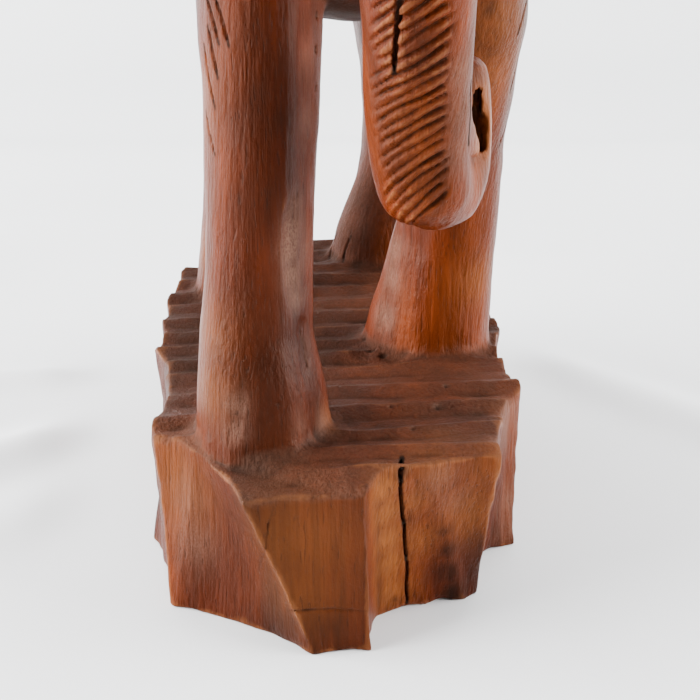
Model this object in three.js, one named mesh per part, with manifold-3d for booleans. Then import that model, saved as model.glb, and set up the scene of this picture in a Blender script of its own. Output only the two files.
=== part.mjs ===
// A walking elephant with its trunk down, carved with its rock plinth from one block of hardwood.
// Millimetres, +Z up. The elephant walks towards -Y. The origin is on the plinth's flat underside.
import * as THREE from "three";
import { LoftGeometry } from "three/addons/geometries/LoftGeometry.js";
import { mergeVertices } from "three/addons/utils/BufferGeometryUtils.js";
import Module from "manifold-3d";

// Driving dimensions
const figureHeight = 340; // from the feet to the crown of the head
const plinthHeight = 78; // from the underside to the feet
const plinthMargin = 18; // rock beyond the feet, on average, all round
const gougeDepth = 3.5; // from the crests of the gouged steps to the bottoms of their troughs
const facetHollow = 3.5; // how deep a rock facet 50 mm wide is scooped
const wallWaist = 1.5; // how far the rock wall is drawn in at half its height
const grooveSpacing = 5; // from one carved groove of the trunk to the next
const grooveDepth = 1.8;
const grooveWidth = 3;
const groovedLength = 165; // of the trunk, along its curve, from the bottom of its curl up
const earThickness = 7;
const eyeRadius = 4.5;

// The figure is drawn 340 mm high and scaled as one to figureHeight. What keeps a size of its own
// on it, such as a groove, is drawn at that size before the scaling.
const figureScale = figureHeight / 340;
const drawn = (size) => size / figureScale;

const rightward = new THREE.Vector3(1, 0, 0);
const wasm = await Module();
wasm.setup();

// Solids

function solidOf({ attributes, index }) {
  const bare = new THREE.BufferGeometry();
  const merged = mergeVertices(bare.setAttribute("position", attributes.position).setIndex(index), 1e-4);
  return new wasm.Manifold(
    new wasm.Mesh({
      numProp: 3,
      vertProperties: merged.attributes.position.array,
      triVerts: new Uint32Array(merged.index.array),
    }),
  );
}

function geometryOf(solid) {
  const mesh = solid.getMesh();
  return new THREE.BufferGeometry()
    .setAttribute("position", new THREE.BufferAttribute(mesh.vertProperties, 3))
    .setIndex(new THREE.BufferAttribute(mesh.triVerts, 1));
}

const skin = (sections) => solidOf(new LoftGeometry(sections, { capStart: true, capEnd: true }));
const union = (solids) => solids.reduce((joined, solid) => joined.add(solid));

// Sweeps

// A spine through the stations' points, with the half width and half depth of the section on it.
function spineOf(stations) {
  const path = new THREE.CatmullRomCurve3(stations.map((s) => new THREE.Vector3(...s.at)));
  const girth = new THREE.CatmullRomCurve3(stations.map((s) => new THREE.Vector3(...s.half, 0)));
  return { path, girth };
}

// The section's own axes at t: across is as near rightward as it can be, outward is square to it.
function frameAt({ path, girth }, t) {
  const centre = path.getPoint(t);
  const along = path.getTangent(t);
  const outward = new THREE.Vector3().crossVectors(along, rightward).normalize();
  const across = new THREE.Vector3().crossVectors(outward, along);
  const half = girth.getPoint(t);
  return { centre, along, across, outward, halfWidth: half.x, halfDepth: half.y };
}

// A sine or cosine for an outline that is an ellipse at power 2 and squarer above it.
const rounded = (value, power) => Math.sign(value) * Math.abs(value) ** (2 / power);

// A ring of points: an ellipse or squarer, cut back to each flat's line.
function ring(frame, { sides, power = 2, flats = [] }, shrink = 1, ahead = 0) {
  const origin = frame.centre.clone().addScaledVector(frame.along, ahead);
  return Array.from({ length: sides }, (_, i) => {
    const angle = (i / sides) * 2 * Math.PI;
    const point = new THREE.Vector2(rounded(Math.cos(angle), power), rounded(Math.sin(angle), power));
    for (const { angle: facing, reach } of flats) {
      const normal = new THREE.Vector2(Math.cos(facing), Math.sin(facing));
      point.addScaledVector(normal, -Math.max(0, point.dot(normal) - reach));
    }
    return origin
      .clone()
      .addScaledVector(frame.across, point.x * frame.halfWidth * shrink)
      .addScaledVector(frame.outward, point.y * frame.halfDepth * shrink);
  });
}

// A solid skinned over rings square to its spine. Each end bulges out by its own length.
function sweep(stations, options) {
  const { sides = 16, rings = 12, bulge = [0, 0] } = options;
  const spine = spineOf(stations);
  const domed = (t, length, sign) =>
    length > 0
      ? [1.25, 0.8, 0.4].map((a) =>
          ring(frameAt(spine, t), { ...options, sides }, Math.cos(a), sign * length * Math.sin(a)),
        )
      : [];
  const sections = [
    ...domed(0, bulge[0], -1),
    ...Array.from({ length: rings + 1 }, (_, i) =>
      ring(frameAt(spine, i / rings), { ...options, sides }),
    ),
    ...domed(1, bulge[1], 1).reverse(),
  ];
  return skin(sections);
}

function ball(radius, [x, y, z], stretch = [1, 1, 1]) {
  const geometry = new THREE.SphereGeometry(radius, 12, 8).scale(...stretch).translate(x, y, z);
  return solidOf(geometry);
}

// Body. Station heights are measured from the plinth's top.

const torso = sweep(
  [
    { at: [5, -122, 247], half: [34, 38] },
    { at: [5, -98, 250], half: [56, 66] },
    { at: [5, -60, 247], half: [68, 79] },
    { at: [5, -10, 244], half: [72, 85] },
    { at: [5, 45, 244], half: [73, 87] },
    { at: [5, 95, 241], half: [69, 80] },
    { at: [5, 135, 236], half: [58, 66] },
    { at: [5, 163, 232], half: [38, 44] },
  ],
  { sides: 20, rings: 12, power: 2.15, bulge: [8, 14] },
);

const head = sweep(
  [
    { at: [4, -80, 262], half: [50, 58] },
    { at: [4, -110, 272], half: [52, 60] },
    { at: [5, -136, 277], half: [49, 57] },
    { at: [6, -156, 272], half: [41, 46] },
    { at: [6, -168, 264], half: [32, 34] },
  ],
  { sides: 16, rings: 8, power: 2.1, bulge: [4, 8] },
);
const crownDomes = [-15, 15].map((x) => ball(36, [x + 5, -126, 304], [0.9, 1.15, 1]));
const lowerLip = sweep(
  [
    { at: [6, -130, 232], half: [26, 20] },
    { at: [7, -152, 214], half: [16, 14] },
    { at: [8, -164, 200], half: [8, 7] },
  ],
  { sides: 12, rings: 5, bulge: [2, 5] },
);

// The trunk hangs a little to the elephant's left. Its end turns back and up behind that side.
const trunkStations = [
  { at: [5, -146, 300], half: [34, 28] },
  { at: [6, -160, 274], half: [36, 32] },
  { at: [8, -170, 246], half: [29.5, 29] },
  { at: [10, -172, 216], half: [24, 25.5] },
  { at: [12.5, -166, 186], half: [21, 22.5] },
  { at: [14, -157, 158], half: [20.5, 21] },
  { at: [16, -151, 134], half: [20, 20] },
  { at: [19, -148, 116], half: [19, 18] },
];
const trunkShape = { sides: 16, rings: 18, power: 2.25, bulge: [10, 15] };
const trunk = sweep(trunkStations, trunkShape);
const trunkTip = sweep(
  [
    { at: [20, -149, 113], half: [15, 15] },
    { at: [28, -140, 112], half: [15.5, 15] },
    { at: [34, -133, 123], half: [14.5, 14.5] },
    { at: [36, -130, 140], half: [13, 13.5] },
    { at: [35.5, -129, 156], half: [12, 12] },
  ],
  { sides: 14, rings: 8, bulge: [1, 9] },
);
const nostril = ball(6, [43, -141.5, 139], [0.85, 0.8, 2.4]);

// Each row of an ear: its height, where it leaves the head, and its free edge.
const earRows = [
  { height: 327, front: [27, -98], edge: [42, -84] },
  { height: 320, front: [35, -109], edge: [63, -56] },
  { height: 304, front: [44, -117], edge: [79, -32] },
  { height: 280, front: [48, -121], edge: [90, -20] },
  { height: 254, front: [47, -121], edge: [93, -22] },
  { height: 230, front: [43, -117], edge: [89, -36] },
  { height: 210, front: [44, -112], edge: [80, -57] },
  { height: 196, front: [49, -107], edge: [69, -77] },
  { height: 190, front: [54, -102], edge: [61, -90] },
];
const earFlare = 1.35; // above 1, the ear turns outwards towards its free edge

function ear(side) {
  const cuts = 5;
  const sections = earRows.map(({ height, front, edge }) => {
    const from = new THREE.Vector3(front[0], front[1], height);
    const run = new THREE.Vector3(edge[0] - front[0], edge[1] - front[1], 0);
    const outward = new THREE.Vector3(run.y, -run.x, 0).normalize();
    const row = (offset) =>
      Array.from({ length: cuts + 1 }, (_, i) => {
        const s = i / cuts;
        const point = from.clone().addScaledVector(outward, offset * (1 - 0.45 * s));
        point.x += run.x * s ** earFlare;
        point.y += run.y * s;
        return new THREE.Vector3(5 + side * point.x, point.y, height);
      });
    const points = [...row(drawn(earThickness) / 2), ...row(drawn(-earThickness) / 2).reverse()];
    return side > 0 ? points.reverse() : points;
  });
  return skin(sections);
}

const eye = (side) => ball(drawn(eyeRadius), [5 + side * 45, -150, 284], [0.8, 1.3, 1]);

const tail = sweep(
  [
    { at: [5, 166, 264], half: [8, 7] },
    { at: [6, 180, 238], half: [6.5, 6] },
    { at: [11, 177, 208], half: [5.5, 5.5] },
    { at: [20, 168, 186], half: [5.5, 5.5] },
    { at: [27, 163, 166], half: [7.5, 6.5] },
    { at: [31, 160, 151], half: [5, 5] },
  ],
  { sides: 8, rings: 9, bulge: [2, 6] },
);

// Legs. Each foot starts a little below the plinth's top, in the rock.

const footing = -14;
const rightForeleg = sweep(
  [
    { at: [-43, -111, footing], half: [29.5, 30] },
    { at: [-43, -111, 8], half: [29.5, 30] },
    { at: [-44, -111, 26], half: [27.5, 28.5] },
    { at: [-45, -109, 45], half: [24.5, 26] },
    { at: [-43, -107, 75], half: [23.2, 25] },
    { at: [-42, -104, 105], half: [23.2, 26] },
    { at: [-40, -98, 150], half: [25, 29] },
    { at: [-39, -88, 190], half: [26.5, 36] },
    { at: [-33, -78, 235], half: [28, 42] },
    { at: [-24, -70, 270], half: [26, 34] },
  ],
  { sides: 15, rings: 12, power: 2.3, flats: [{ angle: -0.55, reach: 0.86 }] },
);
const leftForeleg = sweep(
  [
    { at: [45, -12, footing], half: [31.5, 30] },
    { at: [45, -12, 4], half: [31.5, 30] },
    { at: [47.6, -14, 22], half: [29, 28] },
    { at: [50.6, -17, 46], half: [26, 27] },
    { at: [52.7, -20, 62], half: [24, 26] },
    { at: [53, -26, 100], half: [23.5, 27] },
    { at: [53, -34, 140], half: [26, 32] },
    { at: [53, -44, 180], half: [28.5, 38] },
    { at: [45, -54, 230], half: [29, 42] },
    { at: [34, -60, 265], half: [26, 34] },
  ],
  { sides: 15, rings: 12, power: 2.3, flats: [{ angle: -2.5, reach: 0.84 }] },
);
const rightHindLeg = sweep(
  [
    { at: [-41, 82, footing], half: [26, 29] },
    { at: [-41, 82, 6], half: [26, 29] },
    { at: [-41, 85, 26], half: [23.5, 25] },
    { at: [-41, 91, 52], half: [20.5, 22] },
    { at: [-40, 97, 80], half: [20, 23] },
    { at: [-38.5, 96, 115], half: [21.5, 30] },
    { at: [-36, 94, 150], half: [25, 42] },
    { at: [-31, 98, 205], half: [32, 50] },
    { at: [-24, 102, 250], half: [30, 42] },
  ],
  { sides: 14, rings: 11, power: 2.2 },
);
const leftHindLeg = sweep(
  [
    { at: [42, 136, footing], half: [30, 30] },
    { at: [43, 136, 4], half: [29.5, 29.5] },
    { at: [46.5, 138, 22], half: [26.5, 27] },
    { at: [51, 142, 44], half: [22, 23] },
    { at: [54, 145, 72], half: [21, 22] },
    { at: [54, 141, 108], half: [23, 29] },
    { at: [51, 132, 150], half: [28, 40] },
    { at: [41, 118, 205], half: [33, 49] },
    { at: [32, 108, 250], half: [30, 42] },
  ],
  { sides: 14, rings: 11, power: 2.2 },
);

// Carved grooves

// Slanted V-shaped grooves, each wrapped round the front of the trunk and running out at its ends.
function trunkGrooves() {
  const rise = 0.75; // of each groove, as it runs from the elephant's right to its left
  const turnedRight = 0.38; // radians, as the grooved band lies to the right of the trunk's front
  const wrap = 0.8; // radians, half of the band
  const opening = 5; // how far above the trunk's surface a cutter reaches
  const lip = 1; // how far above the surface a cutter widens as a V before its sides stand upright
  const deep = drawn(grooveDepth);
  const half = (drawn(grooveWidth) / 2) * (1 + lip / deep);
  const spine = spineOf(trunkStations);
  const lengths = spine.path.getLengths(400);
  const total = lengths[400];
  const count = Math.floor(groovedLength / grooveSpacing);
  return Array.from({ length: count }, (_, i) => {
    const sections = [-1, -0.55, 0, 0.55, 1].map((part) => {
      const distance = total + 5 - i * drawn(grooveSpacing) - rise * part * wrap * 20;
      const t = distance < total ? lengths.findIndex((length) => length >= distance) / 400 : 1;
      const frame = frameAt(spine, t);
      const angle = part * wrap - turnedRight;
      const facing = frame.across.clone().multiplyScalar(Math.sin(angle));
      facing.addScaledVector(frame.outward, Math.cos(angle));
      const across = rounded(Math.sin(angle), trunkShape.power);
      const ahead = rounded(Math.cos(angle), trunkShape.power);
      const surface = frame.centre
        .clone()
        .addScaledVector(frame.across, across * frame.halfWidth)
        .addScaledVector(frame.outward, ahead * frame.halfDepth)
        .addScaledVector(frame.along, Math.max(0, distance - total));
      const bottom = Math.abs(part) === 1 ? 0.5 * deep : -deep;
      const edge = (height, along) =>
        surface.clone().addScaledVector(facing, height).addScaledVector(frame.along, along);
      const flank = (side) => [edge(bottom + deep + lip, side * half), edge(opening, side * half)];
      return [edge(bottom, 0), ...flank(-1), ...flank(1).reverse()];
    });
    return skin(sections);
  });
}

const figure = union([
  torso,
  head,
  ...crownDomes,
  lowerLip,
  trunk.subtract(union(trunkGrooves())),
  trunkTip,
  ear(-1),
  ear(1),
  eye(-1),
  eye(1),
  tail,
  rightForeleg,
  leftForeleg,
  rightHindLeg,
  leftHindLeg,
]).subtract(nostril);

// Plinth

// The ridges of the rock wall, anticlockwise from the middle of the front as seen from above:
// a point on the ground, then the point that the ridge climbs to at the rim.
const ridges = [
  [-3.5, -169, -7, -172],
  [3, -141, 0, -160],
  [43, -132, 22, -152],
  [50, -128, 56, -146],
  [60, -91, 62, -116],
  [77, -85, 80, -74],
  [79, -40, 78, -48],
  [72, -8, 89, 8],
  [86, 30, 87, 28],
  [88, 62, 76, 60],
  [80, 98, 86, 92],
  [76, 128, 66, 120],
  [58, 162, 66, 150],
  [30, 168, 34, 176],
  [2, 180, 8, 170],
  [-26, 170, -22, 178],
  [-58, 158, -50, 162],
  [-72, 122, -76, 116],
  [-88, 104, -80, 84],
  [-82, 66, -84, 70],
  [-92, 30, -86, 34],
  [-84, -8, -91, -4],
  [-95, -59, -84, -40],
  [-90, -82, -93, -100],
  [-87, -121, -92, -106],
  [-85, -123, -73, -123],
  [-30, -168, -72, -128],
  [-28, -169, -60, -166],
];
// The crests between the gouged steps, from the front to the back.
const crests = [-176, -154, -137, -117, -93, -70, -44, -26, -8, 13, 33, 54, 75, 96, 118, 140, 163];

// A point of the rock follows the feet. The rock is drawn with a margin of 18 mm round them, and
// moves in or out to plinthMargin.
function rockPoint(x, y, z) {
  const point = new THREE.Vector3(x * figureScale, y * figureScale, 0);
  const outward = new THREE.Vector3(x / 95, y / 175, 0).normalize();
  return point.addScaledVector(outward, plinthMargin - 18 * figureScale).setZ(z);
}

// Lofted rings of ridge points, with the facets between them scooped out.
function rockWall() {
  const sections = [0, 0.3, 0.62, 0.9, 1.15].map((level) => {
    const climbed = Math.min(level, 1);
    const waist = wallWaist * 4 * climbed * (1 - climbed);
    const corners = ridges.map(([x0, y0, x1, y1]) => {
      const x = THREE.MathUtils.lerp(x0, x1, climbed);
      const y = THREE.MathUtils.lerp(y0, y1, climbed);
      const drawnIn = 1 - waist / Math.hypot(x, y);
      return rockPoint(x * drawnIn, y * drawnIn, level * plinthHeight);
    });
    return corners.flatMap((corner, i) => {
      const chord = corners[(i + 1) % corners.length].clone().sub(corner);
      const inward = new THREE.Vector3(-chord.y, chord.x, 0).normalize();
      const hollow = (facetHollow * chord.length()) / 50;
      return [0, 0.3, 0.7].map((s) =>
        corner
          .clone()
          .addScaledVector(chord, s)
          .addScaledVector(inward, 4 * s * (1 - s) * hollow),
      );
    });
  });
  return skin(sections);
}

// Everything under the gouged steps: a profile of troughs, lofted across, that wanders a little.
function underSteps() {
  const crestHeight = plinthHeight + gougeDepth * 0.6;
  const back = 195;
  const stations = [-120, -55, 0, 45, 120];
  const sections = stations.map((x, station) => {
    const points = [new THREE.Vector3(x, back, -20), new THREE.Vector3(x, crests[0], -20)];
    crests.forEach((crest, i) => {
      const wander = 2.5 * Math.sin(2.3 * i + 1.9 * station);
      const next = (crests[i + 1] ?? back) + 2.5 * Math.sin(2.3 * (i + 1) + 1.9 * station);
      const start = i === 0 ? crest : crest + wander;
      const depth = gougeDepth * (1 + 0.25 * Math.sin(4.1 * i + station));
      points.push(new THREE.Vector3(x, start, crestHeight));
      points.push(new THREE.Vector3(x, start + 0.25 * (next - start), crestHeight - 0.85 * depth));
      points.push(new THREE.Vector3(x, start + 0.6 * (next - start), crestHeight - depth));
    });
    points.push(new THREE.Vector3(x, back, crestHeight));
    return points.map((point) => rockPoint(point.x, point.y, point.z));
  });
  return skin(sections.map((points) => points.reverse()));
}

// The gouge stroke across the front right corner of the rock, from the foot forwards.
function cornerStroke() {
  const profile = new THREE.Shape();
  profile.moveTo(-4, 3).lineTo(0, 0).lineTo(10, -5).lineTo(60, -9).lineTo(60, 30).lineTo(-4, 30);
  const geometry = new THREE.ExtrudeGeometry(profile, { depth: 200, bevelEnabled: false });
  const along = new THREE.Vector3(-0.83, 0.557, 0).normalize();
  const up = new THREE.Vector3(0, 0, 1);
  const forward = new THREE.Vector3().crossVectors(up, along);
  geometry.translate(0, 0, -100).applyMatrix4(new THREE.Matrix4().makeBasis(forward, up, along));
  const start = rockPoint(-38, -141.5, plinthHeight);
  return solidOf(geometry.translate(start.x, start.y, start.z));
}

const plinth = rockWall().intersect(underSteps()).subtract(cornerStroke());

// The carving

const standing = figure.scale(figureScale).translate(0, 0, plinthHeight);
const wood = new THREE.MeshStandardMaterial({ color: 0x7a3d20, roughness: 0.42, metalness: 0 });
const carving = new THREE.Mesh(geometryOf(plinth.add(standing)), wood);
carving.name = "elephant_carving";

const elephant = new THREE.Group();
elephant.add(carving);

export default elephant;
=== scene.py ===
import math

import bmesh
import bpy
import numpy as np
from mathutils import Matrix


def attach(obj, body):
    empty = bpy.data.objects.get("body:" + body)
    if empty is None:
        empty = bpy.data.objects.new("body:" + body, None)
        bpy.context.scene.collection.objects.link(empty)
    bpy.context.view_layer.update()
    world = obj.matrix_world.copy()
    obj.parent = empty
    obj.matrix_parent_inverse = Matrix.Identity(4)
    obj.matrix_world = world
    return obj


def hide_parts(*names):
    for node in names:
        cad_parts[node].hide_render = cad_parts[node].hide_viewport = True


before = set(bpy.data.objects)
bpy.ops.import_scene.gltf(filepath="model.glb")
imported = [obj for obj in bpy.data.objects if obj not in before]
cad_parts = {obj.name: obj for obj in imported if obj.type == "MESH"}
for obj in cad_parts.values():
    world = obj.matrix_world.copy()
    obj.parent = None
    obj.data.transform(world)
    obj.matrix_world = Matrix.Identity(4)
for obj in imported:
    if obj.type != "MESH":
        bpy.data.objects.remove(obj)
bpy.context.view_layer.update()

import openvdb
from mathutils import Vector

# Sizes here are in millimetres until the finished mesh is made, which is in metres as the frame is.
MM = 0.001
CELL = 0.75  # one cell of the clay's grid
BAND = 10  # how many cells from the surface the clay knows its distance
PLINTH_TOP = 78.0
PHOTO_SIDE = 700  # pixels
SENSOR = 36.0
LENS = 77.14
CAMERA_PLACE = Vector((-78.6, -705.6, 343.5))
CAMERA_AIM = Vector((0.1138, 0.9266, -0.3584))
TRIANGLES = 196000
LEAP = 14.0  # neighbouring points of a line that are further apart than this lie on different forms
NEAREST_SIGHT = 380  # nothing of the carving is nearer to the camera
SIGHT_REACH = 650  # how far on from there a line of sight is followed


def make_camera():
    """The photograph's camera. Every mark that is placed by a pixel is placed through it."""
    data = bpy.data.cameras.new("photo_camera")
    data.lens = LENS
    data.sensor_width = SENSOR
    data.clip_start = 0.01
    camera = bpy.data.objects.new("photo_camera", data)
    camera.location = CAMERA_PLACE * MM
    camera.rotation_mode = "QUATERNION"
    camera.rotation_quaternion = CAMERA_AIM.to_track_quat("-Z", "Y")
    bpy.context.scene.collection.objects.link(camera)
    bpy.context.scene.camera = camera


def gaussian(values, sigma):
    """The array blurred by the same width, in cells, along its three axes."""
    reach = int(math.ceil(3 * sigma))
    offsets = np.arange(-reach, reach + 1)
    weights = np.exp(-0.5 * (offsets / sigma) ** 2)
    weights = (weights / weights.sum()).astype(np.float32)
    for axis in range(3):
        padding = [(0, 0)] * 3
        padding[axis] = (reach, reach)
        padded = np.pad(values, padding, mode="edge")
        length = values.shape[axis]
        blurred = np.zeros_like(values)
        for weight, start in zip(weights, range(2 * reach + 1)):
            part = [slice(None)] * 3
            part[axis] = slice(start, start + length)
            blurred += weight * padded[tuple(part)]
        values = blurred
    return values


def smooth_step(low, high, value):
    """0 below low, 1 above high, and a smooth rise between them."""
    t = np.clip((value - low) / (high - low), 0, 1)
    return t * t * (3 - 2 * t)


class Clay:
    """The carving as signed distances to its surface, negative inside, on a grid of cells."""

    def __init__(self, points, triangles):
        transform = openvdb.createLinearTransform(voxelSize=CELL)
        grid = openvdb.FloatGrid.createLevelSetFromPolygons(
            points.astype(np.float32),
            triangles=triangles.astype(np.uint32),
            transform=transform,
            halfWidth=BAND,
        )
        low, high = grid.evalActiveVoxelBoundingBox()
        shape = [high[i] - low[i] + 1 for i in range(3)]
        shape = [n + n % 2 for n in shape]
        self.low = low
        self.distance = np.empty(shape, dtype=np.float32)
        grid.copyToArray(self.distance, ijk=low)
        self.transform = transform

    def axis(self, i, step=1):
        """The places of the cells along one axis."""
        return ((self.low[i] + np.arange(0, self.distance.shape[i], step)) * CELL).astype(np.float32)

    def window(self, low, high):
        """The slices between two corners, and the cells' places in them."""
        parts = []
        places = []
        for i in range(3):
            start = max(0, int(math.floor(low[i] / CELL)) - self.low[i])
            stop = min(self.distance.shape[i], int(math.ceil(high[i] / CELL)) - self.low[i] + 1)
            stop = max(stop, start)
            parts.append(slice(start, stop))
            shape = [1, 1, 1]
            shape[i] = stop - start
            places.append(((self.low[i] + np.arange(start, stop)) * CELL).astype(np.float32).reshape(shape))
        return tuple(parts), places

    def read(self, points, values=None, step=1):
        """Values at some points, linear between the cells."""
        values = self.distance if values is None else values
        at = np.asarray(points) / CELL - np.array(self.low)
        at = at / step
        limit = np.array(values.shape) - 1.001
        at = np.clip(at, 0, limit)
        base = np.floor(at).astype(int)
        part = at - base
        total = np.zeros(len(at))
        for corner in range(8):
            shift = np.array([corner & 1, corner >> 1 & 1, corner >> 2 & 1])
            weight = np.prod(np.where(shift, part, 1 - part), axis=1)
            i, j, k = (base + shift).T
            total += weight * values[i, j, k]
        return total

    def direction(self, points):
        """The outward direction at some points."""
        points = np.asarray(points, dtype=float)
        slopes = []
        for i in range(3):
            step = np.zeros(3)
            step[i] = CELL
            slopes.append(self.read(points + step) - self.read(points - step))
        slopes = np.array(slopes).T
        return slopes / np.maximum(np.linalg.norm(slopes, axis=1, keepdims=True), 1e-6)

    def nearest(self, points):
        """Some points near the surface, moved onto it."""
        points = np.asarray(points, dtype=float)
        for _ in range(6):
            points = points - self.direction(points) * self.read(points)[:, None]
        return points

    def first_hit(self, start, ray, reach, step=0.35):
        """The first point of the surface that a ray from outside meets, or None."""
        places = np.asarray(start, dtype=float) + np.asarray(ray) * np.arange(0, reach, step)[:, None]
        inside = self.read(places) < 0
        return places[inside.argmax()] if inside.any() else None

    def cut(self, low, high, cutter, blend=0.3):
        """Takes away what lies in a cutter, a function of x, y, z that gives its signed distance."""
        parts, (x, y, z) = self.window(low, high)
        here = self.distance[parts]
        if here.size:
            self.distance[parts] = smooth_maximum(here, -cutter(x, y, z), blend)

    def add(self, low, high, form, blend=1.0):
        """Adds a form, a function of x, y, z that gives its signed distance."""
        parts, (x, y, z) = self.window(low, high)
        here = self.distance[parts]
        if here.size:
            self.distance[parts] = -smooth_maximum(-here, -form(x, y, z), blend)

    def stroke(self, path, width, depth, blend=0.3, taper=0.35):
        """A gouge's cut along a path on the surface, thin at both ends."""
        path = np.asarray(path, dtype=float)
        radius = width * width / (8 * depth) + depth / 2
        self.tube(path + self.direction(path) * (radius - depth), radius, depth, blend, taper)

    def slit(self, path, width, depth, taper=0.15):
        """A crack along a path on the surface, about as wide at its mouth as below."""
        path = np.asarray(path, dtype=float)
        outward = self.direction(path)
        for sunk in np.arange(-1.6, depth, 0.4 * width):
            radius = 0.5 * width * (1 - 0.4 * max(sunk, 0) / depth)
            self.tube(path - outward * sunk, radius, radius, 0.1, taper)

    def tube(self, centres, radius, thins, blend, taper):
        """Takes away a tube round a path. Its radius falls by an amount towards both ends."""
        lengths = np.linalg.norm(np.diff(centres, axis=0), axis=1)
        along = np.concatenate([[0], np.cumsum(lengths)])
        total = max(along[-1], 1e-6)
        margin = radius + 3
        for i in range(len(centres) - 1):
            a = centres[i]
            b = centres[i + 1]
            low = np.minimum(a, b) - margin
            high = np.maximum(a, b) + margin

            def capsule(x, y, z, a=a, b=b, i=i):
                span = b - a
                square = max(float(span @ span), 1e-9)
                t = ((x - a[0]) * span[0] + (y - a[1]) * span[1] + (z - a[2]) * span[2]) / square
                t = np.clip(t, 0, 1)
                dx = x - a[0] - t * span[0]
                dy = y - a[1] - t * span[1]
                dz = z - a[2] - t * span[2]
                gone = (along[i] + t * lengths[i]) / total
                thin = smooth_step(0, taper, gone) * smooth_step(0, taper, 1 - gone)
                return np.sqrt(dx * dx + dy * dy + dz * dz) - radius + thins * (1 - thin)

            self.cut(low, high, capsule, blend)


def smooth_maximum(a, b, blend):
    """The larger of two distances, with a fillet of about the blend's size where they meet."""
    h = np.maximum(blend - np.abs(a - b), 0) / blend
    return np.maximum(a, b) + h * h * blend * 0.25


def upsampled(values):
    """The array at twice as many cells along each axis, linear between its own."""
    for axis in range(3):
        last = np.take(values, [-1], axis)
        following = np.concatenate([np.take(values, range(1, values.shape[axis]), axis), last], axis)
        pair = np.stack([values, (values + following) * 0.5], axis + 1)
        shape = list(values.shape)
        shape[axis] *= 2
        values = pair.reshape(shape)
    return values


def soft_noise(shape, spacing, seed, reach=1.0):
    """Smooth random values between about -reach and reach. The spacing along each axis is in cells."""
    draw = np.random.default_rng(seed)
    small = [int(math.ceil(n / gap)) + 3 for n, gap in zip(shape, spacing)]
    values = draw.uniform(-1, 1, small).astype(np.float32)
    for axis in range(3):
        at = np.arange(shape[axis]) / spacing[axis]
        base = np.floor(at).astype(int)
        part = (at - base).astype(np.float32)
        part = part * part * (3 - 2 * part)
        form = [1, 1, 1]
        form[axis] = shape[axis]
        part = part.reshape(form)
        values = np.take(values, base, axis) * (1 - part) + np.take(values, base + 1, axis) * part
    return values * reach


def node_mesh(name):
    """Points in mm and triangles of a node of the frame."""
    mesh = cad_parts[name].data
    mesh.calc_loop_triangles()
    points = np.empty(len(mesh.vertices) * 3, dtype=np.float64)
    mesh.vertices.foreach_get("co", points)
    triangles = np.empty(len(mesh.loop_triangles) * 3, dtype=np.int32)
    mesh.loop_triangles.foreach_get("vertices", triangles)
    return points.reshape(-1, 3) / MM, triangles.reshape(-1, 3)


# The hanging part of the trunk's spine, as the solid has it, from its root down.
TRUNK_SPINE = (
    (5, -146, 378), (6, -160, 352), (8, -170, 324), (10, -172, 294),
    (12.5, -166, 264), (14, -157, 236), (16, -151, 212), (19, -148, 194),
)
GROOVE_SPACING = 5.0
GROOVE_DEPTH = 1.1
GROOVE_WIDTH = 2.0
GROOVE_RISE = 15.0
GROOVE_COUNT = 33
GROOVE_BOX = ((-45, -225, 165), (70, -112, 385))
BAND_MIDDLE = -0.38  # the grooved band's middle and half width, as angles round the trunk
BAND_HALF = 0.8
VARIED = 400  # rows of random values, one for each groove


def curve_through(stations, steps=24):
    """A smooth curve through some points, as points close together."""
    p = np.array(stations, dtype=float)
    p = np.vstack([2 * p[0] - p[1], p, 2 * p[-1] - p[-2]])
    t = np.linspace(0, 1, steps, endpoint=False)[:, None]
    spans = []
    for i in range(1, len(p) - 2):
        a, b, c, d = p[i - 1 : i + 3]
        bent = 2 * b + (c - a) * t + (2 * a - 5 * b + 4 * c - d) * t**2
        spans.append(0.5 * (bent + (3 * b - a - 3 * c + d) * t**3))
    return np.vstack([*spans, p[-2]])


# Where the feet stand, as middles and radii seen from above.
FEET = ((-43, -111, 30), (45, -12, 31), (-41, 82, 28), (42, 136, 30))
# How widely the figure and the plinth are smoothed, in steps of the coarse grid, which has every other cell.
ROUNDING = 2.2
WEAR = 1.3
# How far the surface may move as it is smoothed.
MOST_FILLED = 3.0
MORE_ON_BODY = 2.0
MOST_WORN = 0.8
FOOT_FILL = 2.5


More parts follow.
